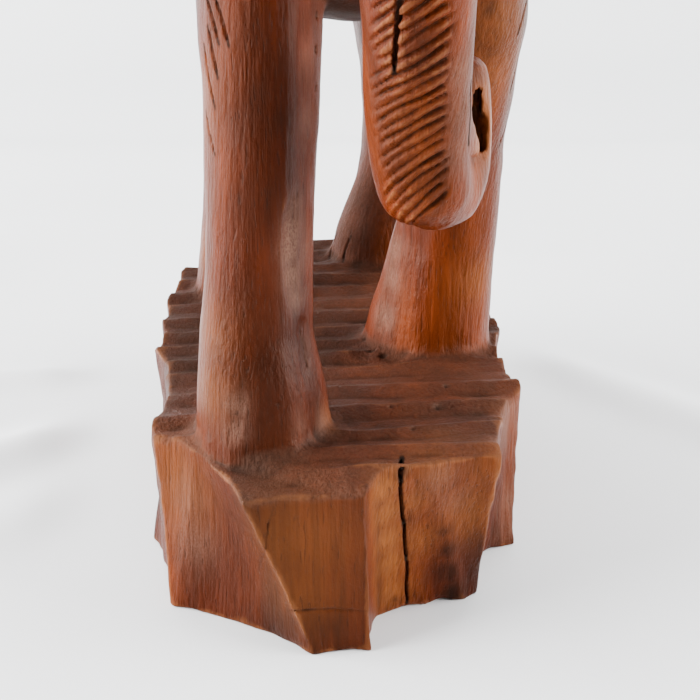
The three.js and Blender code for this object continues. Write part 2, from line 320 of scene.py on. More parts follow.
def soften_figure(clay):
    """Rounds the solid's flat faces into a rubbed figure, and leaves the plinth's cuts crisp."""
    coarse = np.ascontiguousarray(clay.distance[::2, ::2, ::2])
    z = clay.axis(2, 2)[None, None, :]
    y = clay.axis(1, 2)[None, :, None]
    x = clay.axis(0, 2)[:, None, None]
    change = gaussian(coarse, ROUNDING) - coarse
    on_body = smooth_step(238, 262, z) * smooth_step(-128, -108, y)
    change = np.clip(change, -MOST_FILLED - MORE_ON_BODY * on_body, MOST_WORN)
    on_figure = smooth_step(PLINTH_TOP + 3, PLINTH_TOP + 9, z)
    fill = np.clip(change, -FOOT_FILL, 0.0) * smooth_step(PLINTH_TOP - 6, PLINTH_TOP - 1, z) * (1 - on_figure)
    beside = np.zeros(fill.shape[:2] + (1,), dtype=np.float32)
    for foot_x, foot_y, radius in FEET:
        gap = np.abs(np.hypot(x - foot_x, y - foot_y) - radius)
        beside = np.maximum(beside, smooth_step(9, 4, gap))
    worn = np.clip(gaussian(coarse, WEAR) - coarse, 0, MOST_WORN)
    worn = worn * (0.5 + soft_noise(coarse.shape, (5, 5, 5), 3, 0.9))
    change = change * on_figure + worn * (1 - on_figure) * (1 - beside) + fill * beside
    change += soft_noise(coarse.shape, (12, 12, 12), 7, 0.45) * on_figure
    change += soft_noise(coarse.shape, (6, 6, 6), 11, 0.2)
    on_steps = smooth_step(PLINTH_TOP - 8, PLINTH_TOP - 4, z) * (1 - on_figure)
    ripples = soft_noise(coarse.shape, (9, 2.2, 6), 17, 0.5) + soft_noise(coarse.shape, (4, 3, 6), 19, 0.3)
    change += ripples * on_steps
    clay.distance += upsampled(change)


def carve_trunk_grooves(clay):
    """Cuts the slanted grooves of the trunk afresh, narrow and crisp, where the solid has them."""
    parts, (x, y, z) = clay.window(*GROOVE_BOX)
    here = clay.distance[parts]
    near = np.nonzero(np.abs(here) < 3.5)
    points = np.stack([x.ravel()[near[0]], y.ravel()[near[1]], z.ravel()[near[2]]], axis=1).astype(np.float32)
    spine = curve_through(TRUNK_SPINE)
    along = np.concatenate([[0], np.cumsum(np.linalg.norm(np.diff(spine, axis=0), axis=1))])
    tangents = np.gradient(spine, axis=0)
    tangents /= np.linalg.norm(tangents, axis=1, keepdims=True)
    nearest = np.empty(len(points), dtype=int)
    for start in range(0, len(points), 20000):
        part = points[start : start + 20000]
        gaps = ((part[:, None, :] - spine[None].astype(np.float32)) ** 2).sum(axis=2)
        nearest[start : start + 20000] = gaps.argmin(axis=1)
    away = points - spine[nearest]
    forward = (away * tangents[nearest]).sum(axis=1)
    distance = along[nearest] + forward
    outward = np.cross(tangents[nearest], (1.0, 0.0, 0.0))
    outward /= np.linalg.norm(outward, axis=1, keepdims=True)
    across = np.cross(outward, tangents[nearest])
    angle = np.arctan2((away * across).sum(axis=1), (away * outward).sum(axis=1))
    turned = angle - BAND_MIDDLE
    phase = (along[-1] + 5 - distance - GROOVE_RISE * (turned - 0.22 * turned**2)) / GROOVE_SPACING
    wave = 0.07 * np.sin(3.1 * phase + 4 * turned) + 0.06 * np.sin(1.7 * phase - 7 * turned)
    phase = phase + wave
    index = np.round(phase).astype(int)
    draw = np.random.default_rng(31)
    vary = draw.uniform(-1, 1, (VARIED, 3))
    own = vary[index % VARIED]
    gap = np.abs(phase - index) * GROOVE_SPACING
    valley = np.clip(1 - gap / (0.5 * GROOVE_WIDTH * (1 + 0.2 * own[:, 0])), 0, 1)
    crown = 0.16 * np.cos(2 * np.pi * (phase - index)) + 0.2 * (phase - index)
    left = BAND_MIDDLE - BAND_HALF + 0.13 * own[:, 1]
    right = BAND_MIDDLE + BAND_HALF + 0.07 * own[:, 2]
    reach = smooth_step(left, left + 0.3, angle) * smooth_step(right + 0.03, right - 0.14, angle)
    reach = reach * (1 + 0.35 * smooth_step(right - 0.6, right - 0.15, angle))
    on_band = (index >= 0) * (index < GROOVE_COUNT) * smooth_step(-112, -124, points[:, 1])
    cut = (GROOVE_DEPTH * (1 + 0.2 * own[:, 0]) * valley**0.8 + crown) * reach * on_band
    here[near] += cut.astype(np.float32)


def rub(clay, sigma):
    """Takes the sharpest edge off everything, as handling and oil do."""
    clay.distance = gaussian(clay.distance, sigma)


class PhotoEye:
    """Finds the points of the surface that the photograph shows at its pixels."""

    def __init__(self, clay):
        self.clay = clay
        self.aim = CAMERA_AIM.normalized()
        self.right = self.aim.cross(Vector((0, 0, 1))).normalized()
        self.up = self.right.cross(self.aim)
        self.focal = LENS / SENSOR * PHOTO_SIDE

    def point(self, pixel):
        """The point that a pixel shows, or None beside the carving."""
        u, v = pixel
        half = PHOTO_SIDE / 2
        ray = (self.aim * self.focal + self.right * (u - half) + self.up * (half - v)).normalized()
        start = CAMERA_PLACE + ray * NEAREST_SIGHT
        return self.clay.first_hit(start, ray, SIGHT_REACH)

    def path(self, pixels, spacing=4.0):
        """Points on the surface along a line of pixels. A line that leaves what it began on ends there."""
        found = []
        for (u0, v0), (u1, v1) in zip(pixels, pixels[1:]):
            steps = max(1, int(math.hypot(u1 - u0, v1 - v0) / spacing))
            for i in range(steps):
                t = i / steps
                found.append(self.point((u0 + (u1 - u0) * t, v0 + (v1 - v0) * t)))
        found.append(self.point(pixels[-1]))
        found = [p for p in found if p is not None]
        kept = found[:1]
        for p in found[1:]:
            if np.linalg.norm(p - kept[-1]) > LEAP:
                break
            kept.append(p)
        return np.array(kept)


# Marks that the photograph shows, each as a line of its pixels, or one pixel, with a width and a depth in mm.
WRINKLES = (
    ((206, -4), (213, 20), (219, 44), 1.5, 1.0),
    ((215, -4), (222, 20), (229, 46), 1.5, 1.0),
    ((208, 26), (212, 50), (218, 78), 1.5, 1.0),
    ((204, 44), (208, 76), (215, 108), 1.3, 0.9),
    ((206, 112), (209, 132), (215, 155), 1.2, 0.8),
    ((521, 46), (516, 68), (510, 92), 1.3, 0.8),
    ((508, 120), (504, 132), (499, 146), 1.2, 0.8),
    ((527, 0), (523, 16), (518, 34), 1.3, 0.8),
    ((337, 234), (331, 248), (329, 260), 1.6, 0.9),
    ((351, 236), (345, 250), (343, 262), 1.6, 0.9),
)
CRACKS = (
    ((400, -6), (394, 74), 1.6, 4.5),
    ((471, 82), (468, 144), 1.2, 1.6),
    ((402, 458), (400, 470), (401, 482), 1.9, 3.0),
    ((401, 476), (400, 488), (401, 500), (402, 514), (404, 526), 1.3, 3.0),
    ((404, 520), (404, 534), (405, 547), (406, 560), 1.2, 3.0),
    ((406, 556), (407, 570), (406, 584), (407, 603), 1.1, 2.6),
)
SHAKES = (
    ((276, 503), (268, 524), (266, 547), (258, 571), 0.9, 0.6),
    ((287, 611), (330, 609), (371, 611), 0.9, 0.5),
    ((448, 412), (452, 406), (463, 404), 1.0, 0.5),
)
CHIPS = (
    ((237, 413), 1.6, 0.7), ((278, 404), 1.6, 0.7), ((446, 386), 2.6, 1.1), ((390, 407), 2.2, 1.0),
    ((437, 408), 3.5, 1.0), ((412, 429), 2.4, 1.1), ((266, 587), 1.5, 0.6), ((210, 143), 1.6, 0.8),
    ((317, 16), 4.0, 1.6), ((316, 50), 4.0, 1.4), ((316, 88), 3.0, 1.0), ((371, 350), 4.0, 1.6),
    ((366, 338), 3.0, 1.2), ((383, 356), 3.5, 1.4), ((383, 463), 2.0, 1.0),
)
SCOOPS = (
    ((304, -4), (304, 60), (303, 120), (300, 165), 12, 0.9),
    ((297, 185), (291, 215), (289, 250), (291, 285), (296, 312), 12, 1.2),
    ((301, 318), (304, 345), (306, 380), 9, 0.9),
    ((243, 388), (236, 412), (231, 446), 7, 0.5),
    ((399, 222), (396, 250), (392, 282), 13, 1.1),
    ((391, 282), (386, 305), (384, 330), 12, 1.2),
)
SCRATCHES = (
    ((299, 328), (303, 345), 0.9, 0.5),
    ((302, 340), (306, 358), 0.9, 0.5),
    ((303, 352), (307, 368), 0.9, 0.5),
)


def marked(eye, mark):
    """The points on the surface, the width and the depth of a mark."""
    pixels = [part for part in mark if isinstance(part, tuple)]
    return eye.path(pixels), mark[-2], mark[-1]


def cut_marks(clay, eye):
    """Cuts what the photograph shows of wrinkles, cracks, chips and scoops. Returns the dark ones' paths."""
    dark = []
    for mark in SCOOPS:
        path, width, depth = marked(eye, mark)
        clay.stroke(path, width, depth, blend=0.6, taper=0.25)
    for mark in WRINKLES + SCRATCHES + SHAKES:
        path, width, depth = marked(eye, mark)
        clay.stroke(path, width, depth, taper=0.2)
        # The cut lines are darkened with painted shade.
        dark.append((path, 0.6 * width, 0.9 if mark in WRINKLES else 0.35))
    for mark in CRACKS:
        path = np.array([eye.point(pixel) for pixel in mark[:-2]])
        clay.slit(path, mark[-2], mark[-1])
        # Painted shade along the crack.
        dark.append((path, 0.8 * mark[-2], 1.0))
    for pixel, width, depth in CHIPS:
        spot = eye.point(pixel)
        path = np.array([spot - (width, 0, 0), spot + (0.3 * width, 0, 0.2), spot + (width, 0, 0)])
        clay.stroke(clay.nearest(path), width, depth, taper=0.5)
        # Painted shade in the chip's hollow.
        dark.append((path - (0, 0, 0.6), 0.3 * width, 0.4))
    return dark


NOSTRIL = (43.0, -141.5, 217.0)
NOSTRIL_HALF = (5.6, 5.4, 16)
TIP_AXIS = (35.8, -129.6)  # the middle of the trunk's end beside the nostril, seen from above
TIP_RADIUS = 12.5
NOSTRIL_LEFT = 466  # columns of pixels beside the hole
NOSTRIL_RIGHT = 491
LIP = ((104, 0.06), (116, 0.18), (130, 0.34), (143, 0.48), (152, 0.52))  # a row of pixels, the part covered
LIP_SUNK = 2.6
PIT_COUNT = 44
NOTCH_COUNT = 7


def ball(middle, radius, tall=1.0):
    """The signed distance to a ball, stretched upwards, as a function of x, y and z."""

    def form(x, y, z):
        rise = (z - middle[2]) / tall
        return np.sqrt((x - middle[0]) ** 2 + (y - middle[1]) ** 2 + rise**2) - radius

    return form


def tear_nostril(clay, eye):
    """The rough hole in the trunk's end, with a jagged upper edge. A lip narrows it towards the bottom."""
    lip = []
    for row, across in LIP:
        left = eye.point((NOSTRIL_LEFT, row))
        right = eye.point((NOSTRIL_RIGHT, row))
        sunk = left - clay.direction([left])[0] * LIP_SUNK
        lip.append((sunk, sunk + (right - left) * across))
    outward = np.array([NOSTRIL[0] - TIP_AXIS[0], NOSTRIL[1] - TIP_AXIS[1]])
    outward /= np.linalg.norm(outward)
    sideways = np.array([-outward[1], outward[0]])
    rough = np.random.default_rng(5)
    for _ in range(PIT_COUNT):
        along = rough.uniform(-0.95, 0.95)
        spread = 2.6 * (1 - along * along) ** 0.5
        place = TIP_AXIS + outward * rough.uniform(5.5, 10.5) + sideways * rough.uniform(-spread, spread)
        middle = (place[0], place[1], NOSTRIL[2] + 13 * along)
        clay.cut(np.array(middle) - 8, np.array(middle) + 8, ball(middle, rough.uniform(1.6, 3.0), 1.8), 0.2)
    for i in range(NOTCH_COUNT):
        place = TIP_AXIS + outward * 12.0 + sideways * (i - NOTCH_COUNT // 2) * 1.3
        middle = (place[0], place[1], NOSTRIL[2] + 12.5 + rough.uniform(-1.0, 3.0))
        clay.cut(np.array(middle) - 8, np.array(middle) + 8, ball(middle, 1.1, 2.5), 0.2)
    for (a, b), (c, d) in zip(lip[:-1], lip[1:]):
        for share in np.linspace(0, 1, 7):
            for part in np.linspace(0, 1, 5):
                middle = (a + (b - a) * part) * (1 - share) + (c + (d - c) * part) * share
                clay.add(middle - 6, middle + 6, ball(middle, 2.2), 1.2)


BESIDE = 115.0  # further out sideways than the carving reaches


def drawn_line(clay, points, width, depth, taper=0.3):
    """A cut along a curve through some points near the surface."""
    path = clay.nearest(curve_through(points, 6))
    clay.stroke(path, width, depth, taper=taper)
    return path


def side_line(clay, side, places, width, depth, taper=0.25):
    """A cut on one side of the carving along a curve through some places, each a y and a z."""
    curve = curve_through(places, 6)
    found = [clay.first_hit((side * BESIDE, y, z), (-side, 0, 0), BESIDE) for y, z in curve]
    path = np.array([p for p in found if p is not None])
    clay.stroke(path, width, depth, taper=taper)
    return path


# Carved lines on the head and ears, which the photograph doesn't show, each as places (y, z) along it.
SIDE_LINES = (
    ((-160, 362), (-154, 367), (-146, 368), (-139, 364)),
    ((-159, 360), (-153, 356), (-146, 355), (-139, 358)),
    ((-163, 352), (-155, 347), (-146, 346)),
    ((-126, 316), (-138, 311), (-149, 303), (-157, 293)),
    ((-66, 352), (-52, 330), (-46, 305), (-52, 282)),
    ((-76, 356), (-66, 335), (-62, 310), (-68, 288)),
    ((-88, 352), (-80, 335), (-78, 315), (-82, 298)),
)
# Skin folds of the shoulder and the haunch: the first one's upper end (y, z), its drop and their number.
FOLD_GROUPS = (
    (-58, 300, -36, 5),
    (104, 268, -34, 5),
)
TOES = ((-63, 64), (-50, 56), (-36, 55), (62, 112))
TAIL_TUFT = ((24, 165, 252), (28, 163, 241), (31, 160, 229))
TAIL_LINES = 6


def finish_unseen_parts(clay):
    """Plain carving where the photograph doesn't reach: eyes, mouth, ears, skin folds, tail and toes."""
    # Each cut line is also darkened with painted shade.
    dark = []
    for side in (-1, 1):
        for places in SIDE_LINES:
            dark.append((side_line(clay, side, places, 1.7, 0.9), 0.9, 0.6))
        for y, z, drop, count in FOLD_GROUPS:
            for i in range(count):
                top = (y + 7.0 * i, z - 4.0 * (i % 2))
                middle = (top[0] + 3.5, z + 0.5 * drop)
                bottom = (top[0] + 5.0, z + drop + 5.0 * (i % 2))
                dark.append((side_line(clay, side, (top, middle, bottom), 1.5, 0.8), 0.8, 0.6))
    for x, y in TOES:
        bottom = np.array([x, y, 83.0])
        top = bottom + (0, 3.0, 10.0)
        dark.append((drawn_line(clay, [bottom, (bottom + top) / 2, top], 1.8, 1.0), 0.9, 0.6))
    for i in range(TAIL_LINES):
        turn = 2 * math.pi * i / TAIL_LINES
        offset = np.array([5 * math.cos(turn), 5 * math.sin(turn), 0])
        points = [np.array(p) + offset for p in TAIL_TUFT]
        dark.append((drawn_line(clay, points, 1.3, 0.8), 0.8, 0.6))
    return dark


def make_piece(clay, name, fine_paths):
    """The clay as one mesh in metres, with its faces small round the fine marks and large on plain faces."""
    reach = 3 * CELL
    grid = openvdb.FloatGrid(reach)
    grid.copyFromArray(np.clip(clay.distance, -reach, reach), ijk=clay.low, tolerance=0.0)
    grid.transform = clay.transform
    points, _, faces = grid.convertToPolygons(isovalue=0.0, adaptivity=0.0)
    mesh = bpy.data.meshes.new(name)
    mesh.vertices.add(len(points))
    mesh.vertices.foreach_set("co", (points * MM).astype(np.float32).ravel())
    mesh.loops.add(faces.size)
    mesh.loops.foreach_set("vertex_index", faces.astype(np.int32).ravel())
    mesh.polygons.add(len(faces))
    mesh.polygons.foreach_set("loop_start", np.arange(0, faces.size, 4, dtype=np.int32))
    mesh.update(calc_edges=True)
    piece = bpy.data.objects.new(name, mesh)
    bpy.context.scene.collection.objects.link(piece)
    plain = np.ones(len(points))
    for path in fine_paths:
        near = close_to(points, path, 3)
        gap = distance_to_path(points[near], path)
        plain[near] = np.minimum(plain[near], 0.05 + 0.95 * smooth_step(1.5, 3.0, gap))
    group = piece.vertex_groups.new(name="plain")
    group.add(np.nonzero(plain > 0.9)[0].tolist(), 1.0, "REPLACE")
    for index in np.nonzero(plain <= 0.9)[0].tolist():
        group.add([index], plain[index], "REPLACE")
    thin = piece.modifiers.new("fewer_faces", "DECIMATE")
    thin.ratio = TRIANGLES / (2 * len(faces))
    thin.vertex_group = group.name
    graph = bpy.context.evaluated_depsgraph_get()
    light = bpy.data.meshes.new_from_object(piece.evaluated_get(graph))
    piece.modifiers.clear()
    piece.data = light
    light.name = name
    bpy.data.meshes.remove(mesh)
    keep_main_body(light)
    even = piece.modifiers.new("flat_faces_stay_flat", "WEIGHTED_NORMAL")
    even.mode = "FACE_AREA"
    even.weight = 60
    light.polygons.foreach_set("use_smooth", [True] * len(light.polygons))
    return piece


def keep_main_body(mesh):
    """Deletes crumbs that lie loose in the cracks, and faces that the thinning left bad."""
    mesh.validate()
    edges = np.empty(len(mesh.edges) * 2, dtype=np.int32)
    mesh.edges.foreach_get("vertices", edges)
    one, other = edges.reshape(-1, 2).T
    body = np.arange(len(mesh.vertices))
    while True:
        low = np.minimum(body[one], body[other])
        joined = body.copy()
        np.minimum.at(joined, one, low)
        np.minimum.at(joined, other, low)
        joined = joined[joined]
        if (joined == body).all():
            break
        body = joined
    bodies, sizes = np.unique(body, return_counts=True)
    crumbs = np.nonzero(body != bodies[sizes.argmax()])[0]
    shape = bmesh.new()
    shape.from_mesh(mesh)
    shape.verts.ensure_lookup_table()
    bmesh.ops.delete(shape, geom=[shape.verts[i] for i in crumbs], context="VERTS")
    shape.to_mesh(mesh)
    shape.free()


def close_to(points, path, margin):
    """The indices of the points in the box round a path, with a margin."""
    low = path.min(axis=0) - margin
    high = path.max(axis=0) + margin
    return np.nonzero(((points > low) & (points < high)).all(axis=1))[0]


def distance_to_path(points, path):
    """How far each point is from a path."""
    least = np.full(len(points), 1e9)
    for a, b in zip(path, path[1:]):
        span = b - a
        square = max(float(span @ span), 1e-9)
        t = np.clip(((points - a) @ span) / square, 0, 1)
        gap = np.linalg.norm(points - a - t[:, None] * span, axis=1)
        least = np.minimum(least, gap)
    return least


# Patches of colour that the photograph shows: pixel, radius in mm, strength.
# Pale patches: painted highlights and sheen along the ridges and side-turned faces of the legs, trunk and
# plinth, and pale chips on the plinth top.
PALE_CHIPS_AND_PAINTED_SHEEN = (
    ((293, 205), 5, 0.6), ((290, 228), 6, 0.9), ((288, 250), 6, 0.9), ((290, 275), 6, 0.8),
    ((294, 298), 5, 0.5), ((463, 70), 8, 0.5), ((462, 110), 8, 0.4), ((460, 150), 8, 0.3),
    ((345, 225), 14, 0.5), ((352, 200), 14, 0.5), ((340, 255), 12, 0.4), ((396, 250), 8, 0.6),
    ((392, 280), 8, 0.6), ((386, 315), 8, 0.6), ((233, 405), 6, 0.5), ((234, 430), 6, 0.5),
    ((345, 8), 22, 0.3), ((300, 425), 6, 0.3), ((440, 480), 9, 0.4), ((452, 500), 8, 0.3),
    ((510, 500), 9, 0.5), ((508, 530), 9, 0.4), ((190, 540), 12, 0.35), ((186, 500), 10, 0.3),
    ((322, 420), 8, 0.35), ((306, 60), 8, 0.25), ((306, 120), 8, 0.25), ((305, 250), 8, 0.3),
    ((446, 386), 2, 0.9), ((437, 407), 3, 0.9), ((412, 429), 2, 0.9), ((390, 407), 2, 0.8),
    ((383, 463), 2, 0.7),
)
AMBER = (
    ((383, 490), 10, 0.9), ((385, 515), 10, 0.9), ((387, 540), 10, 0.9), ((388, 565), 10, 0.9),
    ((390, 592), 10, 0.8), ((415, 500), 9, 0.5), ((418, 540), 10, 0.5), ((328, 422), 7, 0.35),
    ((300, 540), 26, 0.35), ((300, 590), 22, 0.3), ((495, 70), 22, 0.4), ((500, 20), 22, 0.4),
    ((488, 120), 18, 0.4), ((478, 280), 12, 0.4), ((470, 510), 16, 0.5), ((500, 470), 18, 0.4),
    ((505, 420), 14, 0.3), ((175, 480), 22, 0.4), ((435, 470), 14, 0.4), ((440, 440), 12, 0.3),
    ((205, 250), 14, 0.35), ((205, 330), 14, 0.35), ((205, 390), 14, 0.35), ((203, 100), 14, 0.25),
)
# Dark patches: partly stains, dark grain and cracks, partly painted shade between and under the legs and
# round the feet.
STAINS_AND_PAINTED_SHADE = (
    ((445, 530), 5, 0.7), ((446, 550), 6, 0.8), ((448, 572), 6, 0.85), ((451, 592), 6, 0.8),
    ((402, 472), 4, 0.8), ((173, 610), 7, 0.8), ((488, 8), 4, 0.6), ((302, 345), 5, 0.4),
    ((290, 625), 8, 0.4), ((330, 628), 8, 0.4), ((250, 300), 16, 0.2), ((255, 200), 16, 0.3),
    ((250, 110), 18, 0.35), ((252, 30), 18, 0.3), ((262, 380), 16, 0.12), ((278, 120), 7, 0.4),
    ((278, 60), 7, 0.4), ((276, 180), 7, 0.4), ((304, 20), 8, 0.4), ((305, 80), 8, 0.3),
    ((395, 602), 4, 0.6), ((410, 520), 3, 0.4), ((350, 240), 26, 0.55), ((360, 200), 26, 0.5),
    ((372, 262), 14, 0.5), ((375, 345), 7, 0.6), ((430, 362), 6, 0.6), ((460, 360), 6, 0.6),
    ((400, 357), 6, 0.6), ((364, 340), 6, 0.5), ((340, 270), 22, 0.5), ((345, 300), 22, 0.45),
    ((345, 330), 18, 0.35), ((425, 120), 16, 0.35), ((430, 60), 16, 0.35), ((420, 170), 16, 0.3),
    ((515, 470), 10, 0.3),
)


def patch(eye, points, spots):
    """How strongly each point is in one of the spots."""
    amount = np.zeros(len(points))
    for pixel, radius, strength in spots:
        middle = eye.point(pixel)
        if middle is None:
            continue
        gap = np.linalg.norm(points - middle, axis=1)
        amount = np.maximum(amount, strength * np.exp(-((gap / radius) ** 2)))
    return amount


def add_attributes(clay, eye, piece, dark_paths):
    """Stores at each point how far it stands out or lies deep, and the patches of colour, among them painted
    shade and painted highlights and sheen.
    """
    mesh = piece.data
    points = np.empty(len(mesh.vertices) * 3, dtype=np.float32)
    mesh.vertices.foreach_get("co", points)
    points = points.reshape(-1, 3) / MM
    normals = np.empty(len(mesh.vertices) * 3, dtype=np.float32)
    mesh.vertices.foreach_get("normal", normals)
    normals = normals.reshape(-1, 3)
    coarse = np.ascontiguousarray(clay.distance[::2, ::2, ::2])
    rise = gaussian(coarse, 1.2) - coarse
    # How far each point stands out, for lighter worn edges, or lies in a hollow, for painted shade.
    found = {"edge": np.clip(clay.read(points, rise, 2) / 0.5, -1, 1)}
    # Stains and painted shade from the dark patches.
    dark = patch(eye, points, STAINS_AND_PAINTED_SHADE)
    # Painted shade along the cut lines.
    for path, radius, strength in dark_paths:
        near = close_to(points, path, 2 * radius)
        gap = distance_to_path(points[near], path)
        dark[near] = np.maximum(dark[near], strength * smooth_step(1.3 * radius, 0.5 * radius, gap))
    x, y, z = points.T
    up = normals[:, 2]
    # Painted shade inside the nostril, where the surface lies deep.
    x0, y0, z0 = NOSTRIL
    half_x, half_y, half_z = NOSTRIL_HALF
    hole = np.sqrt(((x - x0) / half_x) ** 2 + ((y - y0) / half_y) ** 2 + ((z - z0) / half_z) ** 2)
    sunk = TIP_RADIUS - np.hypot(x - TIP_AXIS[0], y - TIP_AXIS[1])
    dark = np.maximum(dark, smooth_step(1.4, 1.1, hole) * smooth_step(1.6, 2.6, sunk))
    # Painted shade on the plinth's upward faces, deeper towards the back between the feet.
    on_top = smooth_step(0.02, 0.3, up) * smooth_step(PLINTH_TOP + 6, PLINTH_TOP + 3, z)
    on_top = on_top * smooth_step(PLINTH_TOP - 16, PLINTH_TOP - 10, z)
    dark = np.maximum(dark, on_top * (0.38 + 0.22 * smooth_step(-90, -20, y)))
    rock = smooth_step(PLINTH_TOP + 4, PLINTH_TOP - 4, z)
    dark = np.maximum(dark, 0.12 * rock)
    # Painted shade on the downward faces under the body.
    shade_under_belly = smooth_step(285, 260, z) * smooth_step(-0.2, -0.7, up)
    shade_under_belly = shade_under_belly * smooth_step(225, 235, z) * smooth_step(-130, -110, y)
    dark = np.maximum(dark, 0.55 * shade_under_belly)
    found["dark"] = dark
    # Pale chips and painted highlights, with painted sheen on the plinth's upward faces.
    found["pale_and_sheen"] = np.maximum(patch(eye, points, PALE_CHIPS_AND_PAINTED_SHEEN), 0.25 * on_top)
    found["amber"] = patch(eye, points, AMBER)
    for name, values in found.items():
        attribute = mesh.attributes.new(name, "FLOAT", "POINT")
        attribute.data.foreach_set("value", values.astype(np.float32))


def link(tree, out, into):
    """Joins a node's output to an input."""
    tree.links.new(out, into)


def noise(tree, coordinates, scale, stretch, detail=4.0, rough=0.55, warp=0.0):
    """A noise texture on coordinates stretched along the grain."""
    mapping = tree.nodes.new("ShaderNodeMapping")
    mapping.inputs["Scale"].default_value = stretch
    link(tree, coordinates, mapping.inputs["Vector"])
    node = tree.nodes.new("ShaderNodeTexNoise")
    node.inputs["Scale"].default_value = scale
    node.inputs["Detail"].default_value = detail
    node.inputs["Roughness"].default_value = rough
    node.inputs["Distortion"].default_value = warp
    link(tree, mapping.outputs["Vector"], node.inputs["Vector"])
    return node.outputs["Fac"]


def ramp(tree, value, stops):
    """Colours or grey values along a value."""
    node = tree.nodes.new("ShaderNodeValToRGB")
    elements = node.color_ramp.elements
    while len(elements) < len(stops):
        elements.new(0.5)
    for element, (place, colour) in zip(elements, stops):
        element.position = place
        if not isinstance(colour, tuple):
            colour = (colour, colour, colour)
        element.color = (*colour, 1.0)
    link(tree, value, node.inputs["Fac"])
    return node.outputs["Color"]


def mixed(tree, blend, factor, first, second):
    """Two colours mixed. The factor and either colour may be a value or a socket."""
    node = tree.nodes.new("ShaderNodeMix")
    node.data_type = "RGBA"
    node.blend_type = blend
    for socket, value in zip((node.inputs[0], node.inputs[6], node.inputs[7]), (factor, first, second)):
        if isinstance(value, bpy.types.NodeSocket):
            link(tree, value, socket)
        elif isinstance(value, tuple):
            socket.default_value = (*value, 1.0)
        else:
            socket.default_value = value
    return node.outputs[2]


def worked(tree, operation, first, second):
    """A sum, product or the like of two values or sockets."""
    node = tree.nodes.new("ShaderNodeMath")
    node.operation = operation
    for socket, value in zip(node.inputs, (first, second)):
        if isinstance(value, bpy.types.NodeSocket):
            link(tree, value, socket)
        else:
            socket.default_value = value
    return node.outputs[0]


def stored(tree, name):
    """A value that add_attributes stored."""
    node = tree.nodes.new("ShaderNodeAttribute")
    node.attribute_name = name
    return node.outputs["Fac"]


HEARTWOOD = (0.024, 0.0032, 0.0005)
RED_BROWN = (0.068, 0.0092, 0.001)
LIGHT_BROWN = (0.135, 0.024, 0.0028)
YELLOW_BROWN = (0.2, 0.06, 0.012)
# Pale wood of chips, also used as painted highlights and sheen.
PALE_WOOD_AND_SHEEN = (0.16, 0.085, 0.06)
RUBBED_EDGE = (0.24, 0.085, 0.03)
# Painted shade in hollows and cuts.
PAINTED_RECESS_SHADE = (0.012, 0.004, 0.002)
# Near black of stains and of painted shade.
DARK_STAINS_AND_PAINTED_SHADE = (0.005, 0.003, 0.002)


